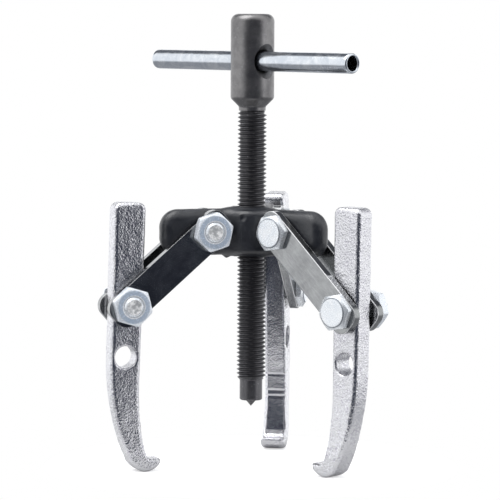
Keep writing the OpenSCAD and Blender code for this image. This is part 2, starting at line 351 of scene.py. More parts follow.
def lumps(x, y, z, size, seed):
    """Smooth random lumps of a given size, from -1 to 1."""
    p = [x / size, y / size, z / size]
    cell = [np.floor(v) for v in p]
    f = [v - c for v, c in zip(p, cell)]
    f = [v * v * (3 - 2 * v) for v in f]
    total = 0
    for di in (0, 1):
        for dj in (0, 1):
            for dk in (0, 1):
                w = (f[0] if di else 1 - f[0]) * (f[1] if dj else 1 - f[1]) * (f[2] if dk else 1 - f[2])
                total = total + w * lattice(cell[0] + di, cell[1] + dj, cell[2] + dk, seed)
    return 2 * total - 1


def gradient(field, p, h=0.02):
    """Unit direction in which the field grows at each point."""
    g = []
    for axis in range(3):
        step = np.zeros(3)
        step[axis] = h
        g.append((field(*(p + step).T) - field(*(p - step).T)) / (2 * h))
    g = np.stack(g, 1)
    return g / np.maximum(np.linalg.norm(g, axis=1, keepdims=True), 1e-6)


def surface_cells(d):
    """Surface nets: one vertex in each cell that the surface d = 0 passes through, in cell units."""
    n = np.array(d.shape) - 1
    total, count = np.zeros((*n, 3)), np.zeros(n)
    for axis in range(3):
        lo = d.take(range(d.shape[axis] - 1), axis)
        hi = d.take(range(1, d.shape[axis]), axis)
        crossed = (lo < 0) != (hi < 0)
        t = np.where(crossed, lo / np.where(crossed, lo - hi, 1), 0)
        others = [a for a in range(3) if a != axis]
        for da in (0, 1):
            for db in (0, 1):
                window = [slice(None)] * 3
                window[others[0]] = slice(da, da + n[others[0]])
                window[others[1]] = slice(db, db + n[others[1]])
                c = crossed[tuple(window)]
                total[..., axis] += np.where(c, t[tuple(window)], 0)
                total[..., others[0]] += c * da
                total[..., others[1]] += c * db
                count += c
    return total, count


def surface_faces(d, index):
    """The quads between the vertices of surface_cells, whose numbers index holds, facing outward."""
    faces = []
    for axis in range(3):
        lo = d.take(range(d.shape[axis] - 1), axis) < 0
        hi = d.take(range(1, d.shape[axis]), axis) < 0
        at = np.argwhere(lo != hi)
        a, b = [v for v in range(3) if v != axis]
        at = at[(at[:, a] > 0) & (at[:, b] > 0)]
        flip = lo[tuple(at.T)]
        corner = []
        for da, db in ((1, 1), (0, 1), (0, 0), (1, 0)):
            c = at.copy()
            c[:, a] -= da
            c[:, b] -= db
            corner.append(index[tuple(c.T)])
        quads = np.stack(corner, 1)
        if axis == 1:
            flip = ~flip
        quads[~flip] = quads[~flip][:, ::-1]
        faces.append(quads)
    return np.concatenate(faces)


def solid_from_field(field, lo, hi, step):
    """Vertices on the surface field = 0, and its quads."""
    axes = [np.arange(a - 2 * step, b + 3 * step, step) for a, b in zip(lo, hi)]
    grid = np.ix_(*axes)
    d = field(*grid) + np.zeros([len(a) for a in axes])
    total, count = surface_cells(d)
    live = count > 0
    index = np.full(live.shape, -1)
    index[live] = np.arange(live.sum())
    cell = np.argwhere(live)
    p = (cell + total[live] / count[live][:, None]) * step + [a[0] for a in axes]
    for _ in range(3):
        p = p - gradient(field, p) * field(*p.T)[:, None] * 0.9
    return p, surface_faces(d, index)


# ---------------------------------------------------------------- jaws

def jaw_outline():
    """Side view of a jaw: X outward, Z up, from the top corner round to the back curve."""
    back_x = STEM_HALF_W - 0.4
    reach, drop = HOOK_X - back_x, JAW_BOTTOM + HOOK_R - BACK_TOP
    back_r = (HOOK_R ** 2 - reach ** 2 - drop ** 2) / (2 * (reach + HOOK_R))
    back_end = math.degrees(math.atan2(drop, back_r + reach))
    inner_cx = INNER_X - INNER_R
    inner_end = math.degrees(math.asin((LIP_Z - INNER_TOP + INNER_ABOVE_LIP) / INNER_R))
    last = (inner_cx + INNER_R * math.cos(math.radians(inner_end)), LIP_Z + INNER_ABOVE_LIP)
    notch = filleted([last, (NOTCH_X + 0.5, LIP_Z - 0.25, 2.6), (LIP_TIP + 2.2, LIP_Z - 0.15, 2.0),
                      (LIP_TIP + 0.5, LIP_Z, 0.5), (LIP_TIP, LIP_Z - 0.9, 0.6), (LIP_TIP + 0.5, LIP_Z - 2.4)])
    return (arc(STEM_HALF_W - OUTER_CORNER, JAW_TOP - OUTER_CORNER, OUTER_CORNER, 0, 90, 8)
            + arc(-STEM_HALF_W + INNER_CORNER, JAW_TOP - INNER_CORNER, INNER_CORNER, 90, 180, 8)
            + arc(inner_cx, INNER_TOP, INNER_R, 0, inner_end, 14) + notch[1:]
            + arc(HOOK_X, JAW_BOTTOM + HOOK_R, HOOK_R, 208, 360 + back_end, 22)
            + arc(back_x - back_r, BACK_TOP, back_r, back_end, 0, 24)[1:])


def jaw_field(x, y, z):
    """Distance to a jaw: it widens towards the hook, and its outer edges are the most rounded."""
    side = outline_distance(JAW_OUTLINE, x, z) + 0.1
    flare = np.clip((FLARE_TOP - z) / FLARE_LEN, 0, 1)
    half = JAW_HALF_T + (HOOK_HALF_T - JAW_HALF_T) * flare * flare * (3 - 2 * flare) - 0.08
    outer_edge = np.clip((x + 2) / 6, 0, 1) * np.clip((z + 60) / 10, 0, 1)
    d = rounded_extrusion(side, y, half, 1.8 + 0.6 * outer_edge)
    for height, r in ((0, PIN_R), (-SPARE_DROP, SPARE_R)):
        flared = 0.8 * np.clip(np.abs(y) - JAW_HALF_T + 1.0, 0, 1.2) ** 2
        hole = np.hypot(x, z - height) - r - flared
        d = soft_max(d, -hole, 0.5)
    return d


def forged_skin(p, normal, seed):
    """Unevenness left by the forging dies, and the ridges where the flash was trimmed off the inner face."""
    x, y, z = p.T
    skin = 0.10 * lumps(x, y, z, 9, seed)
    skin = skin + 0.055 * lumps(x, y, z, 2.6, seed + 7)
    skin = skin + 0.03 * lumps(x, y, z, 1.1, seed + 3)
    inward = np.clip(-normal[:, 0] * 2 - 0.8, 0, 1)
    inner = inward * np.clip((TRIM_TOP - z) / 3, 0, 1) * np.clip((z - LIP_Z) / 3, 0, 1)
    ridge = sum(depth * np.exp(-((z - at) / width) ** 2) for at, width, depth in RIDGES)
    near_edge = np.clip((np.abs(y) - 3.6) / 1.2, 0, 1)
    edge = (1 - np.abs(normal[:, 1])) * near_edge * np.clip((-44 - z) / 6, 0, 1)
    skin = skin * (1 - 0.55 * inward) * (1 - 0.4 * inner) - 0.30 * inner * ridge
    skin = skin - 0.08 + 0.22 * edge * lumps(x * 0, y * 0, z, 1.4, seed + 11)
    return np.minimum(skin, 0.08)


def mark_inner_face(obj):
    """Stores on the mesh how smooth its skin is: 0 as forged, up to 1 on the trimmed, lower inner face."""
    mesh = obj.data
    co, normal = np.empty(len(mesh.vertices) * 3), np.empty(len(mesh.vertices) * 3)
    mesh.vertices.foreach_get("co", co)
    mesh.vertices.foreach_get("normal", normal)
    z, facing = co[2::3] / MM, -normal[0::3]
    calm = np.clip(facing * 3 - 1.6, 0, 1) * (0.62 + 0.24 * np.clip((TRIM_TOP - z) / 3, 0, 1))
    mesh.attributes.new("calm", "FLOAT", "POINT").data.foreach_set("value", calm.astype(np.float32))


def make_jaw(k, surface):
    verts, faces = surface
    normal = gradient(jaw_field, verts)
    near_hole = np.minimum(np.hypot(verts[:, 0], verts[:, 2]) - PIN_R,
                           np.hypot(verts[:, 0], verts[:, 2] + SPARE_DROP) - SPARE_R)
    calm = np.clip((near_hole - 0.2) / 1.0, 0, 1)
    lifted = verts + normal * (forged_skin(verts, normal, 3 * k) * calm)[:, None]
    obj = new_object(f"jaw_{k}_forging", lifted, faces.tolist(), 60)
    mark_inner_face(obj)
    placed(obj, FRAMES[k]["jaw"])
    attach(obj, f"jaw_{k}")
    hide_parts(f"jaw_{k}")
    obj.data.materials.append(forged_zinc(f"forged_zinc_{k}", k))


# ---------------------------------------------------------------- yoke

def yoke_field(x, y, z):
    """Distance to the yoke about its middle: a hub with a collar, and an arm towards each jaw."""
    radius = np.hypot(x, y)
    d = rounded_extrusion(radius - HUB_R, z, YOKE_HALF_H - 0.5, 3.2)
    outs = [FRAMES[k]["out"] for k in ARMS]
    for out in outs:
        along, across = x * out.x + y * out.y, -x * out.y + y * out.x
        flat = rounded_extrusion(along - YOKE_TIP, z, YOKE_HALF_H, YOKE_CORNER)
        arm = rounded_extrusion(flat, across, YOKE_HALF_T - 0.05, 4.9)
        arm = np.maximum(arm, -along)
        d = soft_min(d, arm, 3.5)
    d = soft_min(d, rounded_extrusion(radius - COLLAR_R, z, HUB_HALF_H - 0.1, 1.2), 2.4)
    bore = radius - BORE_R - np.clip(np.abs(z) - HUB_HALF_H + 1.0, 0, 2)
    d = soft_max(d, -bore, 0.3)
    for out in outs:
        along = x * out.x + y * out.y
        hole = np.hypot(along - YOKE_PIN[0], z - YOKE_PIN[1]) - PIN_R
        d = np.where(along > 0, soft_max(d, -hole, 0.3), d)
    return d


def cast_skin(p):
    """Unevenness of the sand casting, a ringed pit on the hub's front, a drip under the left arm's root."""
    x, y, z = p.T
    skin = 0.10 * lumps(x, y, z, 8, 21) + 0.05 * lumps(x, y, z, 3, 22) - 0.1
    mark = Vector((math.cos(math.radians(-96)), math.sin(math.radians(-96)), 0)) * HUB_R
    pit = np.sqrt((x - mark.x) ** 2 + (y - mark.y) ** 2 + (z - 7.0) ** 2)
    skin = skin - 0.55 * np.exp(-(pit / 1.2) ** 4) + 0.18 * np.exp(-((pit - 1.9) / 0.5) ** 2)
    left = FRAMES[2]["out"] * 12.7
    drip = np.sqrt((x - left.x) ** 2 + (y - left.y) ** 2 + (z + YOKE_HALF_H) ** 2)
    return skin + 1.3 * np.exp(-(drip / 1.5) ** 2)


def make_yoke():
    verts, faces = solid_from_field(yoke_field, (-46, -32, -13), (46, 47, 13), 0.6)
    normal = gradient(yoke_field, verts)
    calm = np.clip((np.hypot(verts[:, 0], verts[:, 1]) - BORE_R - 0.3) / 1.5, 0, 1)
    verts = verts + normal * (cast_skin(verts) * calm)[:, None]
    verts = verts + [0, 0, YOKE_MIDDLE]
    obj = placed(new_object("yoke_casting", verts, faces.tolist(), 70), Matrix())
    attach(obj, "yoke")
    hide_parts("yoke")
    obj.data.materials.append(black_casting())


# ---------------------------------------------------------------- forcing screw

# (phase, depth) over one pitch, both as fractions: crest, flank, root, flank
THREAD_SHAPE = ((0.0, 0.06), (0.03, 0), (0.1, 0), (0.13, 0.06), (0.26, 0.46), (0.41, 0.94),
                (0.47, 1), (0.56, 1.03), (0.65, 1), (0.71, 0.94), (0.86, 0.46))


def thread_radius(z, depth):
    """Thread radius with a chamfered start above the nose and a run-out below the neck."""
    r = np.full(z.shape, THREAD_R - THREAD_DEPTH * depth)
    start = np.clip((z - NOSE_LEN) / 1.7, 0, 1)
    r = np.minimum(r, NOSE_R + (THREAD_R - NOSE_R) * start)
    end = np.clip((z - THREAD_TOP + 1.3) / 1.3, 0, 1)
    return r * (1 - end) + (THREAD_R - THREAD_DEPTH) * end


def nose_profile():
    return filleted([(0, 0.0), (NOSE_R, 0, 0.8), (NOSE_R, NOSE_LEN)], 5)


def head_profile():
    """Neck and head up to the top's middle, with points close enough together for a clean cut."""
    start = THREAD_TOP
    shape = filleted([(THREAD_R - THREAD_DEPTH, start), (NECK_R - 0.05, start + 0.05, 0.05),
                      (NECK_R, start + 0.5, 0.1), (NECK_R, start + NECK_LEN, 1.6), (HEAD_R, HEAD_BOTTOM, 2.4),
                      (HEAD_R, HEAD_TOP, HEAD_EDGE), (0, HEAD_TOP)], 8)
    dense = [shape[0]]
    for a, b in zip(shape, shape[1:]):
        steps = max(1, round(math.dist(a, b) / 1.2))
        dense += [(a[0] + (b[0] - a[0]) * i / steps, a[1] + (b[1] - a[1]) * i / steps)
                  for i in range(1, steps + 1)]
    return dense


def make_forcing_screw():
    """Nose and helical thread, with the head joined on and its cross hole cut."""
    head = new_object("screw_head", *turned(head_profile()))
    reach, mouth = HEAD_R + 2, HEAD_R - SINK
    wide = HOLE_R + SINK + 2
    hole = filleted([(0, -reach), (wide, -reach), (HOLE_R, -mouth, 2.0), (HOLE_R, mouth, 2.0),
                     (wide, reach), (0, reach)], 6)
    cutter = new_object("hole_cutter", *turned(hole, 64))
    cutter.data.transform(BAR @ Matrix.Rotation(math.radians(90), 4, "Y"))
    cut(head, cutter)
    smooth(head.data, 32)
    thread = helix(NOSE_LEN, THREAD_TOP, thread_radius, PITCH, THREAD_SHAPE, ROUND)
    stem = new_object("screw_stem", *merged(turned(nose_profile()), thread), sharp=28)
    obj = placed(joined("forcing_screw_steel", stem, head), Matrix())
    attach(obj, "forcing_screw")
    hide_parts("forcing_screw")
    obj.data.materials.append(black_oxide())


def joined(name, *objects):
    """One object from several whose end rows meet."""
    bm = bmesh.new()
    for o in objects:
        bm.from_mesh(o.data)
        bpy.data.objects.remove(o)
    bmesh.ops.remove_doubles(bm, verts=bm.verts, dist=2e-6)
    return finished(name, bm, 30)


def make_centre_point():
    profile = filleted([(0, -POINT_DROP), (POINT_R - 0.07, -0.2, 0.15), (POINT_R, 0.0, 0.1),
                        (POINT_SHANK_R, 0.15, 0.1), (POINT_SHANK_R, POINT_TOP, 0.2), (0, POINT_TOP)], 4)
    obj = placed(new_object("centre_point_steel", *turned(profile, 48), sharp=40), Matrix())
    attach(obj, "centre_point")
    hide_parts("centre_point")
    obj.data.materials.append(black_oxide("black_oxide_point", 5))


# ---------------------------------------------------------------- tommy bar

def make_tommy_bar():
    """Tube rolled from strip: its seam runs the whole length, and its ends are cut square and deburred."""
    half = BAR_LENGTH / 2
    angle = np.degrees(np.arange(ROUND) * 2 * math.pi / ROUND)
    off = np.abs((angle - SEAM_ANGLE + 180) % 360 - 180)
    seam = SEAM_DEPTH * np.exp(-(off / SEAM_SPREAD) ** 2)
    outer, inner = BAR_R - seam, BAR_BORE_R + 1.6 * seam
    xs = [-half + 1.1, -half + 2.5, *np.linspace(-half + 6, half - 6, 40), half - 2.5, half - 1.1]
    body = [(outer - 0.03 * np.sin(x * 0.9 + 1) ** 2, x) for x in xs]
    left = [(inner, -half + 0.7), (inner + 0.35, -half + 0.12), (inner + 0.6, -half),
            (outer - 0.75, -half), (outer - 0.45, -half + 0.1), (outer - 0.12, -half + 0.5)]
    right = [(r, -x) for r, x in reversed(left)]
    bore = [(inner, x) for x in np.linspace(half - 2, -half + 2, 12)]
    obj = new_object("tommy_bar_tube", *turned(left + body + right + bore, closed=True), sharp=50)
    placed(obj, BAR @ Matrix.Rotation(math.radians(90), 4, "Y"))
    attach(obj, "tommy_bar")
    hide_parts("tommy_bar")
    obj.data.materials.append(tube_zinc())


# ---------------------------------------------------------------- straps

def strap_edge(length):
    """Closed outline of a strap, with its outward direction at each point."""
    points = []
    w, c, past = STRAP_HALF_W, STRAP_CORNER, STRAP_PAST
    corners = ((length + past - c, w - c, 0), (c - past, w - c, 90),
               (c - past, c - w, 180), (length + past - c, c - w, 270))
    for x, y, a in corners:
        for i in range(13):
            t = math.radians(a + 90 * i / 12)
            points.append((x + c * math.cos(t), y + c * math.sin(t), math.cos(t), math.sin(t)))
    return np.array(points)


def plate_loops(bm, edge, holes, y, inset):
    """Vertices of the outline drawn in by the inset, and of the holes widened by it, all at height y."""
    return [[bm.verts.new(((p[0] + grow * p[2]) * MM, y * MM, (p[1] + grow * p[3]) * MM)) for p in ring]
            for ring, grow in [(edge, -inset)] + [(h, inset) for h in holes]]


def fill_face(bm, loops, facing):
    """Fills one flat face of the plate between its outline and the hole rims."""
    edges = [bm.edges.new((v[i], v[(i + 1) % len(v)])) for v in loops for i in range(len(v))]
    bmesh.ops.triangle_fill(bm, edges=edges, use_beauty=True, use_dissolve=False, normal=(0, facing, 0))


def hole_edge(x, r):
    return np.array([(x + r * math.cos(t), r * math.sin(t), math.cos(t), math.sin(t))
                     for t in np.arange(48) * 2 * math.pi / 48])


def strap_mesh(name, length, crisp):
    """Flat bar with softly broken edges; a crisp one was sheared, and is sharper round its +Y face."""
    half = STRAP_T / 2 - 0.02
    edge = strap_edge(length)
    holes = [hole_edge(0, PIN_R), hole_edge(length, PIN_R)]
    bm = bmesh.new()
    upper, lower = ([(half - r * (1 - math.cos(t)), r * (1 - math.sin(t)))
                     for t in np.linspace(0, math.pi / 2, 6)]
                    for r in (EDGE_CRISP if crisp else EDGE_SOFT, EDGE_SOFT))
    levels = upper + [(-y, inset) for y, inset in reversed(lower)]
    stacks = []
    for n, (y, inset) in enumerate(levels):
        stacks.append(plate_loops(bm, edge, holes, y, inset))
        if n in (0, len(levels) - 1):
            fill_face(bm, stacks[-1], 1 if n == 0 else -1)
    for above, below in zip(stacks, stacks[1:]):
        for a, b in zip(above, below):
            for i in range(len(a)):
                j = (i + 1) % len(a)
                bm.faces.new((a[i], a[j], b[j], b[i]))
    bmesh.ops.recalc_face_normals(bm, faces=bm.faces)
    obj = finished(name, bm, 50)
    weigh = obj.modifiers.new("flat_faces", "WEIGHTED_NORMAL")
    weigh.weight = 100
    weigh.keep_sharp = True
    return obj


def make_straps(k):
    crisp = k == CRISP_ARM
    # The crisp arm's arrises get a fainter pale band: less scuffing and a fainter painted highlight
    wear_and_highlight = CRISP_ARRIS_WEAR_AND_HIGHLIGHT if crisp else ARRIS_WEAR_AND_HIGHLIGHT
    for side, word in ((1, "left"), (-1, "right")):
        obj = strap_mesh(f"strap_{k}_{word}_bar", FRAMES[k]["length"], crisp)
        offset = FRAMES[k]["side"] * (side * (STRAP_IN + STRAP_T / 2) * MM)
        placed(obj, Matrix.Translation(offset) @ FRAMES[k]["strap"])
        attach(obj, f"straps_{k}")
        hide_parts(f"strap_{k}_{word}")
        obj.data.materials.append(strap_steel(f"strap_steel_{k}_{word}", 2 * k + side, wear_and_highlight))


# ---------------------------------------------------------------- bolts and nuts

def hex_radius(flats, turn):
    """Radius of a hexagon with slightly rounded corners, round the turn; a corner lies at angle turn."""
    angle = np.arange(ROUND) * 2 * math.pi / ROUND
    total = 0
    for i in range(6):
        total = total + np.maximum(np.cos(angle - math.radians(turn + 30 + 60 * i)), 0) ** 70
    return flats / 2 / total ** (1 / 70)


def chamfered_end(flats_r, face_r, h, lift=0.0):
    """Rows from a hexagon's edge in to its round face: the chamfer cone, then a small fillet.

    lift raises the round face above the cone, as a washer-like disc.
    """
    edge = h - np.maximum(flats_r - face_r, 0) * CHAMFER_SLOPE
    part_in = (flats_r - face_r) * 0.4
    return [(flats_r, edge - 0.22), (flats_r - 0.03, edge - 0.08), (flats_r - 0.14, edge + 0.03),
            (face_r + part_in, h - part_in * CHAMFER_SLOPE), (face_r + 0.30, h - 0.17),
            (face_r + 0.12, h - 0.12), (face_r - 0.06, h - 0.03 + lift), (face_r - 0.28, h + lift)]


def make_bolt(name, m, turn, body, node, seed):
    """Hexagon-head bolt, seen from the head, on the -Y side, down to the end past the nut on the +Y side."""
    r = hex_radius(HEAD_FLATS, turn)
    under = STRAP_OUT + HEAD_GAP
    head = [(0, HEAD_H - 0.06), (HEAD_FACE_R * 0.4, HEAD_H - 0.05), (HEAD_FACE_R * 0.8, HEAD_H - 0.01)]
    head += chamfered_end(r, HEAD_FACE_R, HEAD_H - 0.2, lift=0.2)[::-1]
    head += [(r, 0.25), (r - 0.06, 0.08), (r - 0.25, 0.0), (BOLT_R + 0.4, 0.0), (BOLT_R, -0.3)]
    rows = [(a, under + z) for a, z in head]
    end = -BOLT_END
    rows += [(BOLT_R, -STRAP_OUT + 0.3), (4.9, -STRAP_OUT - 0.1), (4.9, end + 1.35), (4.82, end + 1.15),
             (3.95, end + 0.16), (3.75, end + 0.03), (3.6, end), (3.3, end + 0.06), (2.5, end + 0.30),
             (1.3, end + 0.42), (0, end + 0.45)]
    obj = new_object(name, *turned(rows), sharp=17)
    placed(obj, m @ Matrix.Rotation(math.radians(90), 4, "X"))
    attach(obj, body)
    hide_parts(node)
    obj.data.materials.append(bolt_zinc(f"bolt_zinc_{seed}", seed))


def make_nut(name, m, turn, body, node, seed):
    """Hexagon nut with a chamfered face at both ends, on the +Y side of the arm."""
    r = hex_radius(NUT_FLATS - 0.02, turn)
    outer = chamfered_end(r, NUT_FACE_R, NUT_H)
    inner = [(a, NUT_H - z) for a, z in chamfered_end(r, NUT_FACE_R, NUT_H)][::-1]
    mouth = [(5.35, NUT_H), (5.22, NUT_H - 0.05), (NUT_BORE_R + 0.03, NUT_H - 0.4),
             (NUT_BORE_R, NUT_H - 0.6), (NUT_BORE_R, 0.6), (NUT_BORE_R + 0.25, 0.05), (5.35, 0.0)]
    rows = [(a, STRAP_OUT + NUT_GAP + z) for a, z in inner + outer + mouth]
    obj = new_object(name, *turned(rows, closed=True), sharp=17)
    placed(obj, m @ Matrix.Rotation(math.radians(-90), 4, "X"))
    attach(obj, body)
    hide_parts(node)
    obj.data.materials.append(nut_zinc(f"nut_zinc_{seed}", seed))


def make_fasteners(k):
    yoke_turn, jaw_turn = FASTENER_TURNS[k]
    for place, turn, body in (("yoke", yoke_turn, "yoke"), ("jaw", jaw_turn, f"straps_{k}")):
        m = FRAMES[k]["yoke" if place == "yoke" else "jaw_pin"]
        seed = k + (10 if place == "yoke" else 20)
        make_bolt(f"{place}_bolt_{k}_steel", m, turn, body, f"{place}_bolt_{k}", seed)
        make_nut(f"{place}_nut_{k}_steel", m, turn, body, f"{place}_nut_{k}", seed + 30)


# ---------------------------------------------------------------- materials

class Look:
    """A node material: each call adds a node and wires what it is given."""

    def __init__(self, name, seed=0):
        self.mat = bpy.data.materials.new(name)
        self.mat.use_nodes = True
        self.tree = self.mat.node_tree
        self.shader = self.tree.nodes["Principled BSDF"]
        where = self.add("ShaderNodeAttribute")
        where.attribute_name = "own_place"
        shift = self.add("ShaderNodeMapping", Vector=where.outputs["Vector"])
        shift.inputs["Location"].default_value = (0.013 * seed, 0.037 * seed, 0.021 * seed)
        self.at = shift.outputs["Vector"]
        self.raw = where.outputs["Vector"]

    def add(self, kind, **inputs):
        node = self.tree.nodes.new(kind)
        for key, value in inputs.items():
            self.wire(node, key.replace("_", " "), value)
        return node

    def wire(self, node, key, value):
        socket = node.inputs[int(key[1:])] if key[0] == "i" and key[1:].isdigit() else node.inputs[key]
        if hasattr(value, "is_output"):
            self.tree.links.new(value, socket)
        else:
            socket.default_value = value

    def stretched(self, x, y, z):
        node = self.add("ShaderNodeMapping", Vector=self.at)
        node.inputs["Scale"].default_value = (x, y, z)
        return node.outputs["Vector"]

    def noise(self, per_mm, detail=3, rough=0.55, distort=0.0, at=None):
        node = self.add("ShaderNodeTexNoise", Vector=at or self.at, Scale=per_mm * 1000, Detail=detail,
                        Roughness=rough, Distortion=distort)
        return node.outputs["Fac"]

    def cells(self, per_mm):
        node = self.add("ShaderNodeTexVoronoi", Vector=self.at, Scale=per_mm * 1000)
        return node.outputs["Distance"]

    def ramp(self, fac, *stops):
        """A colour ramp through stops (place, grey or colour)."""
        node = self.add("ShaderNodeValToRGB", Fac=fac)
        ramp = node.color_ramp
        while len(ramp.elements) < len(stops):
            ramp.elements.new(0.5)
        for element, (place, colour) in zip(ramp.elements, stops):
            element.position = place
            element.color = colour if hasattr(colour, "__len__") else (colour, colour, colour, 1)
        return node.outputs["Color"]

    def maths(self, kind, a, b):
        node = self.add("ShaderNodeMath", i0=a, i1=b)
        node.operation = kind
        return node.outputs["Value"]

    def place(self):
        """The sockets X, Y and Z of the point's own place, in metres."""
        return self.add("ShaderNodeSeparateXYZ", Vector=self.raw).outputs

    def mix(self, fac, a, b):
        node = self.add("ShaderNodeMixRGB", Fac=fac, Color1=a, Color2=b)
        return node.outputs["Color"]

    def bump(self, height, mm, normal=None):
        node = self.add("ShaderNodeBump", Height=height, Distance=mm * MM)
        node.inputs["Strength"].default_value = 1.0
        if normal:
            self.tree.links.new(normal, node.inputs["Normal"])
        return node.outputs["Normal"]

    def set(self, **inputs):
        for key, value in inputs.items():
            self.wire(self.shader, key.replace("_", " "), value)
        return self.mat


def forged_zinc(name, seed):
    """Bright zinc over a shot-blasted forging: mottled, sparkling, calmer where the flash was trimmed."""
    s = Look(name, seed)
    mottle = s.noise(1.05, 3, 0.55, 0.2)
    grit = s.noise(2.2, 3, 0.6)
    pits = s.cells(1.1)
    waves = s.noise(0.22, 2, 0.5, 1.5)
    calm = s.add("ShaderNodeAttribute")
    calm.attribute_name = "calm"
    coarse = s.maths("SUBTRACT", 1.0, calm.outputs["Fac"])
    normal = s.bump(s.maths("MULTIPLY", mottle, coarse), 0.24)
    normal = s.bump(s.maths("MULTIPLY", grit, coarse), 0.09, normal)
    normal = s.bump(s.maths("MULTIPLY", pits, coarse), 0.10, normal)
    tone = s.mix(s.ramp(mottle, (0.36, 0), (0.62, 1)), (0.52, 0.51, 0.56, 1), (0.84, 0.84, 0.86, 1))
    tone = s.mix(s.ramp(waves, (0.4, 0), (0.6, 1)), tone, (0.72, 0.72, 0.74, 1))
    rough = s.ramp(grit, (0.3, 0.14), (0.7, 0.27))
    return s.set(Base_Color=tone, Metallic=1.0, Roughness=rough, Normal=normal)


def strap_steel(name, seed, wear_and_highlight):
    """Bright-drawn flat bar: fine grain along its length, faint marks, arrises made pale partly by scuffing
    and partly as a painted highlight.
    """
    s = Look(name, seed)
    grain = s.noise(1.6, 4, 0.65, 0, s.stretched(0.12, 1, 1))
    cloud = s.noise(0.12, 4, 0.6, 0.4)
    specks = s.noise(1.1, 2, 0.5)
    normal = s.bump(grain, 0.012)
    normal = s.bump(cloud, 0.05, normal)
    tone = s.mix(s.ramp(cloud, (0.35, 0), (0.65, 1)), (0.24, 0.245, 0.25, 1), (0.34, 0.35, 0.35, 1))
    tone = s.mix(s.ramp(grain, (0.45, 0), (0.75, 0.5)), tone, (0.45, 0.45, 0.46, 1))
    # Pale, rough, less metallic band along both arrises: partly scuffing, partly a painted highlight that
    # catches the tent's light
    across = s.maths("ABSOLUTE", s.place()["Y"], 0.0)
    half, span = STRAP_T / 2, 4
    rubbed_and_highlight = s.ramp(s.maths("MULTIPLY", across, 1000 / span),
                    ((half - 0.52) / span, 0), ((half - 0.34) / span, wear_and_highlight),
                    ((half - 0.18) / span, wear_and_highlight), ((half - 0.03) / span, 0))
    broken = s.ramp(s.noise(0.07, 3, 0.6), (0.36, 0.3), (0.50, 1))
    worn_and_highlight = s.maths("MULTIPLY", rubbed_and_highlight, broken)
    tone = s.mix(worn_and_highlight, tone, (0.88, 0.88, 0.89, 1))
    patchy = s.maths("ADD", s.maths("MULTIPLY", cloud, 0.6), s.maths("MULTIPLY", specks, 0.4))
    rough = s.ramp(patchy, (0.35, 0.12), (0.65, 0.22))
    rough = s.mix(worn_and_highlight, rough, (0.5, 0.5, 0.5, 1))
    metal = s.maths("SUBTRACT", 1.0, s.maths("MULTIPLY", worn_and_highlight, 0.9))
    return s.set(Base_Color=tone, Metallic=metal, Roughness=rough, Normal=normal)


RADIUS_SPAN, LENGTH_SPAN = 10, 20  # a fastener's ramps run over this radius and this length


class FastenerLook(Look):
    """Blue-white zinc plate on a cold-formed fastener, with tiny dents."""

    def __init__(self, name, seed):
        super().__init__(name, seed)
        self.cloud = self.noise(0.25, 4, 0.6, 0.5)
        fine = self.noise(1.8, 3, 0.6)
        self.own = self.place()
        squares = [self.maths("MULTIPLY", self.own[axis], self.own[axis]) for axis in ("X", "Y")]
        self.radius = self.maths("MULTIPLY", self.maths("POWER", self.maths("ADD", *squares), 0.5),
                                 1000 / RADIUS_SPAN)
        dents = self.ramp(self.cells(0.55), (0.05, 0), (0.35, 1))
        self.normal = self.bump(fine, 0.001, self.bump(dents, 0.003))
        self.rough = self.ramp(fine, (0.3, 0.22), (0.7, 0.30))


def nut_zinc(name, seed):
    """Zinc on a nut: its end faces are painted bluer and darker as shade between the mouth and the rim, and
    the mouth is painted pale as a highlight.
    """
    s = FastenerLook(name, seed)
    rim, mouth = NUT_FACE_R / RADIUS_SPAN, 5.55 / RADIUS_SPAN
    # Painted light and shade: the mouth is painted pale as a highlight, the flat face out to the rim darker
    # and bluer as shade
    tone = s.ramp(s.radius, (mouth, (0.90, 0.92, 0.95, 1)), (mouth + 0.02, (0.47, 0.56, 0.69, 1)),
                  (rim - 0.03, (0.50, 0.59, 0.71, 1)), (rim - 0.005, (0.86, 0.90, 0.95, 1)))
    tone = s.mix(s.ramp(s.cloud, (0.35, 0), (0.65, 0.25)), tone, (0.84, 0.88, 0.93, 1))
    return s.set(Base_Color=tone, Metallic=0.25, Roughness=s.rough, Normal=s.normal, Specular_IOR_Level=0.8)


def bolt_zinc(name, seed):
    """Zinc on a bolt: a dark ring of painted shade round the head's disc, and a paler, rougher sheared end.
    """
    s = FastenerLook(name, seed)
    end = s.maths("MULTIPLY", s.own["Z"], -1000 / LENGTH_SPAN)
    at_end = s.ramp(end, ((BOLT_END - 0.75) / LENGTH_SPAN, 0), ((BOLT_END - 0.6) / LENGTH_SPAN, 1))
    sheared = s.maths("MULTIPLY", at_end, s.ramp(s.radius, (0.35, 1), (0.375, 0)))
    normal = s.bump(s.maths("MULTIPLY", s.noise(0.55, 4, 0.6), sheared), 0.3, s.normal)
    tone = s.mix(s.ramp(s.cloud, (0.35, 0), (0.65, 1)), (0.76, 0.80, 0.84, 1), (0.86, 0.88, 0.90, 1))
    face = HEAD_FACE_R / RADIUS_SPAN
    # A dark ring painted round the head's disc as shade, where the raised disc meets the chamfer
    painted_crease_shade = s.ramp(s.radius, (face - 0.02, 0), (face - 0.005, 0.8), (face + 0.035, 0.8), (face + 0.055, 0))
    tone = s.mix(painted_crease_shade, tone, (0.16, 0.18, 0.21, 1))
    torn = s.ramp(s.noise(0.5, 3, 0.6), (0.40, (0.42, 0.43, 0.44, 1)), (0.60, (0.95, 0.95, 0.95, 1)))
    tone = s.mix(sheared, tone, torn)
    metal = s.maths("SUBTRACT", 0.55, s.maths("MULTIPLY", sheared, 0.55))
    return s.set(Base_Color=tone, Metallic=metal, Roughness=s.rough, Normal=normal, Specular_IOR_Level=0.8)


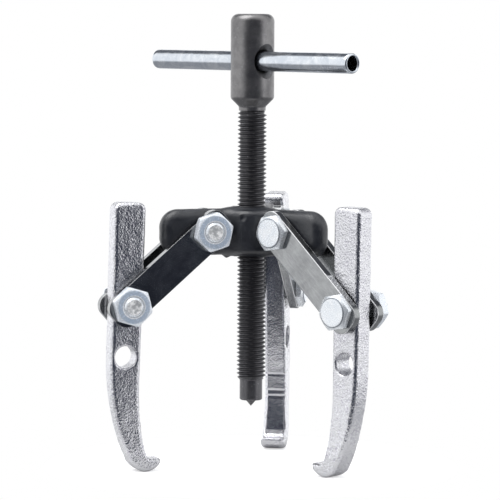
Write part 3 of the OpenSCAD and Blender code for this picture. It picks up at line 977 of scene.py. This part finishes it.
def tube_zinc():
    """Bluish zinc on a rolled tube, slightly wavy from the rolls."""
    s = Look("tube_zinc", 4)
    wave = s.noise(0.10, 3, 0.5, 0.8, s.stretched(1, 1, 0.6))
    stain = s.noise(0.16, 5, 0.62, 0.8)
    fine = s.noise(2.0, 3, 0.6, 0, s.stretched(1, 1, 0.15))
    normal = s.bump(wave, 0.16)
    normal = s.bump(fine, 0.007, normal)
    tone = s.mix(s.ramp(stain, (0.42, 0), (0.66, 1)), (0.58, 0.62, 0.67, 1), (0.72, 0.75, 0.78, 1))
    rough = s.ramp(stain, (0.35, 0.14), (0.7, 0.22))
    return s.set(Base_Color=tone, Metallic=1.0, Roughness=rough, Normal=normal)


def black_oxide(name="black_oxide", seed=1):
    """Oiled black oxide over turned steel: gunmetal sheen, thread painted darker as shade, pale scuffed
    specks.
    """
    s = Look(name, seed)
    cloud = s.noise(0.16, 4, 0.6, 0.3)
    fine = s.noise(2.4, 3, 0.6)
    specks = s.noise(0.7, 5, 0.7)
    tool = s.noise(2.2, 2, 0.5, 0, s.stretched(0.2, 0.2, 1))
    normal = s.bump(fine, 0.03)
    normal = s.bump(tool, 0.012, normal)
    tone = s.mix(s.ramp(cloud, (0.35, 0), (0.65, 1)), (0.15, 0.147, 0.15, 1), (0.23, 0.225, 0.225, 1))
    # Painted shade: everything below THREAD_TOP in its own place is painted darker, in place of the shade
    # between the thread's turns
    span = 200
    rolled = s.ramp(s.maths("MULTIPLY", s.place()["Z"], 1000 / span),
                    (THREAD_TOP / span - 0.002, 0.75), (THREAD_TOP / span, 0))
    tone = s.mix(rolled, tone, (0.095, 0.095, 0.102, 1))
    tone = s.mix(s.ramp(specks, (0.60, 0), (0.70, 0.8)), tone, (0.34, 0.34, 0.35, 1))
    rough = s.ramp(specks, (0.4, 0.30), (0.7, 0.42))
    return s.set(Base_Color=tone, Metallic=0.85, Roughness=rough, Normal=normal, Specular_IOR_Level=0.4)


def black_casting():
    """Semi-gloss black over a sand casting: orange peel and thin dust."""
    s = Look("black_casting", 2)
    peel = s.noise(0.45, 3, 0.55)
    fine = s.noise(1.7, 3, 0.6)
    dust = s.noise(0.12, 5, 0.65, 0.5)
    normal = s.bump(peel, 0.16)
    normal = s.bump(fine, 0.03, normal)
    tone = s.mix(s.ramp(dust, (0.40, 0), (0.70, 1)), (0.014, 0.0155, 0.020, 1), (0.026, 0.028, 0.034, 1))
    rough = s.ramp(dust, (0.35, 0.33), (0.7, 0.46))
    return s.set(Base_Color=tone, Metallic=0.0, Roughness=rough, Normal=normal, Specular_IOR_Level=0.7)


def floor_white():
    """Pale sheet, burnt out to white for the camera as in a light tent."""
    s = Look("floor_white", 0)
    tone = s.mix(s.noise(0.01, 2), (0.66, 0.66, 0.66, 1), (0.70, 0.70, 0.70, 1))
    burnt = s.maths("MULTIPLY", s.add("ShaderNodeLightPath").outputs["Is Camera Ray"], 0.55)
    return s.set(Base_Color=tone, Roughness=0.9, Specular_IOR_Level=0.1,
                 Emission_Color=(1, 1, 1, 1), Emission_Strength=burnt)


# ---------------------------------------------------------------- studio

def make_floor():
    """A round sheet just under the hooks."""
    z = CAD_BOX[0].z / MM - 0.05
    rings = [(r, z) for r in (0, 35, 70, 100)]
    floor = placed(new_object("studio_floor", *turned(rings, 64)), Matrix())
    floor.data.materials.append(floor_white())


def make_world():
    """A white light tent with a dark opening round the camera, which the near faces mirror."""
    world = bpy.data.worlds.new("light_tent")
    bpy.context.scene.world = world
    world.use_nodes = True
    tree = world.node_tree
    add, link = tree.nodes.new, tree.links.new
    tree.nodes.clear()
    way = add("ShaderNodeTexCoord").outputs["Generated"]

    def toward(azimuth, height, lo, hi):
        """1 where the direction is near an azimuth and height, from the cosines lo to hi."""
        a = math.radians(azimuth)
        dot = add("ShaderNodeVectorMath")
        dot.operation = "DOT_PRODUCT"
        dot.inputs[1].default_value = Vector((math.cos(a), math.sin(a), height)).normalized()
        link(way, dot.inputs[0])
        return step(dot.outputs["Value"], lo, hi)

    def step(value, lo, hi):
        ramp = add("ShaderNodeMapRange")
        ramp.interpolation_type = "SMOOTHSTEP"
        ramp.inputs["From Min"].default_value = lo
        ramp.inputs["From Max"].default_value = hi
        link(value, ramp.inputs["Value"])
        return ramp.outputs["Result"]

    def maths(kind, a, b):
        node = add("ShaderNodeMath")
        node.operation = kind
        for socket, value in zip(node.inputs, (a, b)):
            if hasattr(value, "is_output"):
                link(value, socket)
            else:
                socket.default_value = value
        return node.outputs["Value"]

    def mix(fac, a, b):
        node = add("ShaderNodeMix")
        node.data_type = "RGBA"
        link(fac, node.inputs["Factor"])
        for key, value in (("A", a), ("B", b)):
            if hasattr(value, "is_output"):
                link(value, node.inputs[key])
            else:
                node.inputs[key].default_value = value
        return node.outputs["Result"]

    split = add("ShaderNodeSeparateXYZ")
    link(way, split.inputs["Vector"])
    rise = split.outputs["Z"]
    front = toward(-74, -0.05, 0.53, 0.79)
    band = maths("SUBTRACT", step(rise, 0.36, 0.44), step(rise, 0.72, 0.80))
    back = maths("MULTIPLY", maths("MULTIPLY", toward(98, 0.0, 0.36, 0.46), band), 0.92)
    under = maths("MULTIPLY", step(maths("MULTIPLY", rise, -1.0), 0.15, 0.36), 0.72)
    lit = maths("SUBTRACT", 1.0, maths("MAXIMUM", maths("MAXIMUM", front, under), back))
    tent = mix(lit, TENT_DARK, TENT_WHITE)
    strip = mix(toward(-14, 0.05, 0.976, 0.991), tent, STRIP_WHITE)
    seen = mix(add("ShaderNodeLightPath").outputs["Is Camera Ray"], strip, BACKDROP)
    sky = add("ShaderNodeBackground")
    link(seen, sky.inputs["Color"])
    link(sky.outputs["Background"], add("ShaderNodeOutputWorld").inputs["Surface"])


def make_light(name, place, size, power, mirrored=True):
    data = bpy.data.lights.new(name, "AREA")
    data.size, data.energy = size, power
    obj = linked(name, data)
    obj.visible_glossy = mirrored
    obj.location = place
    obj.rotation_euler = (Vector(LIGHT_AIM) - Vector(place)).to_track_quat("-Z", "Y").to_euler()


def make_camera():
    """A long lens well away and a little above, as the picture was taken."""
    heading, tilt, roll = math.radians(CAMERA_HEADING), math.radians(CAMERA_TILT), CAMERA_ROLL
    east, north = math.cos(heading), math.sin(heading)
    forward = Vector((east * math.cos(tilt), north * math.cos(tilt), -math.sin(tilt)))
    right = forward.cross(UP).normalized()
    up = right.cross(forward)
    right, up = right * math.cos(roll) + up * math.sin(roll), up * math.cos(roll) - right * math.sin(roll)
    data = bpy.data.cameras.new("camera")
    data.sensor_width, data.lens, data.shift_x = SENSOR_WIDTH, LENS, SHIFT_X
    data.clip_start, data.clip_end = 0.05, 20
    obj = linked("camera", data)
    eye = Vector((-east * CAMERA_AWAY, -north * CAMERA_AWAY, CAMERA_HEIGHT))
    obj.matrix_world = matrix(eye, right, up, -forward)
    bpy.context.scene.camera = obj


def make_studio():
    scene = bpy.context.scene
    scene.view_settings.view_transform = "Standard"
    scene.view_settings.look = "None"
    make_floor()
    make_world()
    make_light("top_softbox", (-0.35, -0.15, 0.95), 0.7, 5)
    make_light("front_fill", (0.75, -1.15, 0.45), 0.6, 6, mirrored=False)
    make_camera()


FRAMES = {k: arm_frames(k) for k in ARMS}
BAR, BAR_LENGTH = bar_frame()
YOKE_PIN = yoke_pin()
JAW_OUTLINE = jaw_outline()

make_studio()
make_forcing_screw()
make_centre_point()
make_tommy_bar()
make_yoke()
jaw_surface = solid_from_field(jaw_field, (-20, -7, -81), (9, 7, 50), 0.45)
for k in ARMS:
    make_straps(k)
    make_fasteners(k)
    make_jaw(k, jaw_surface)
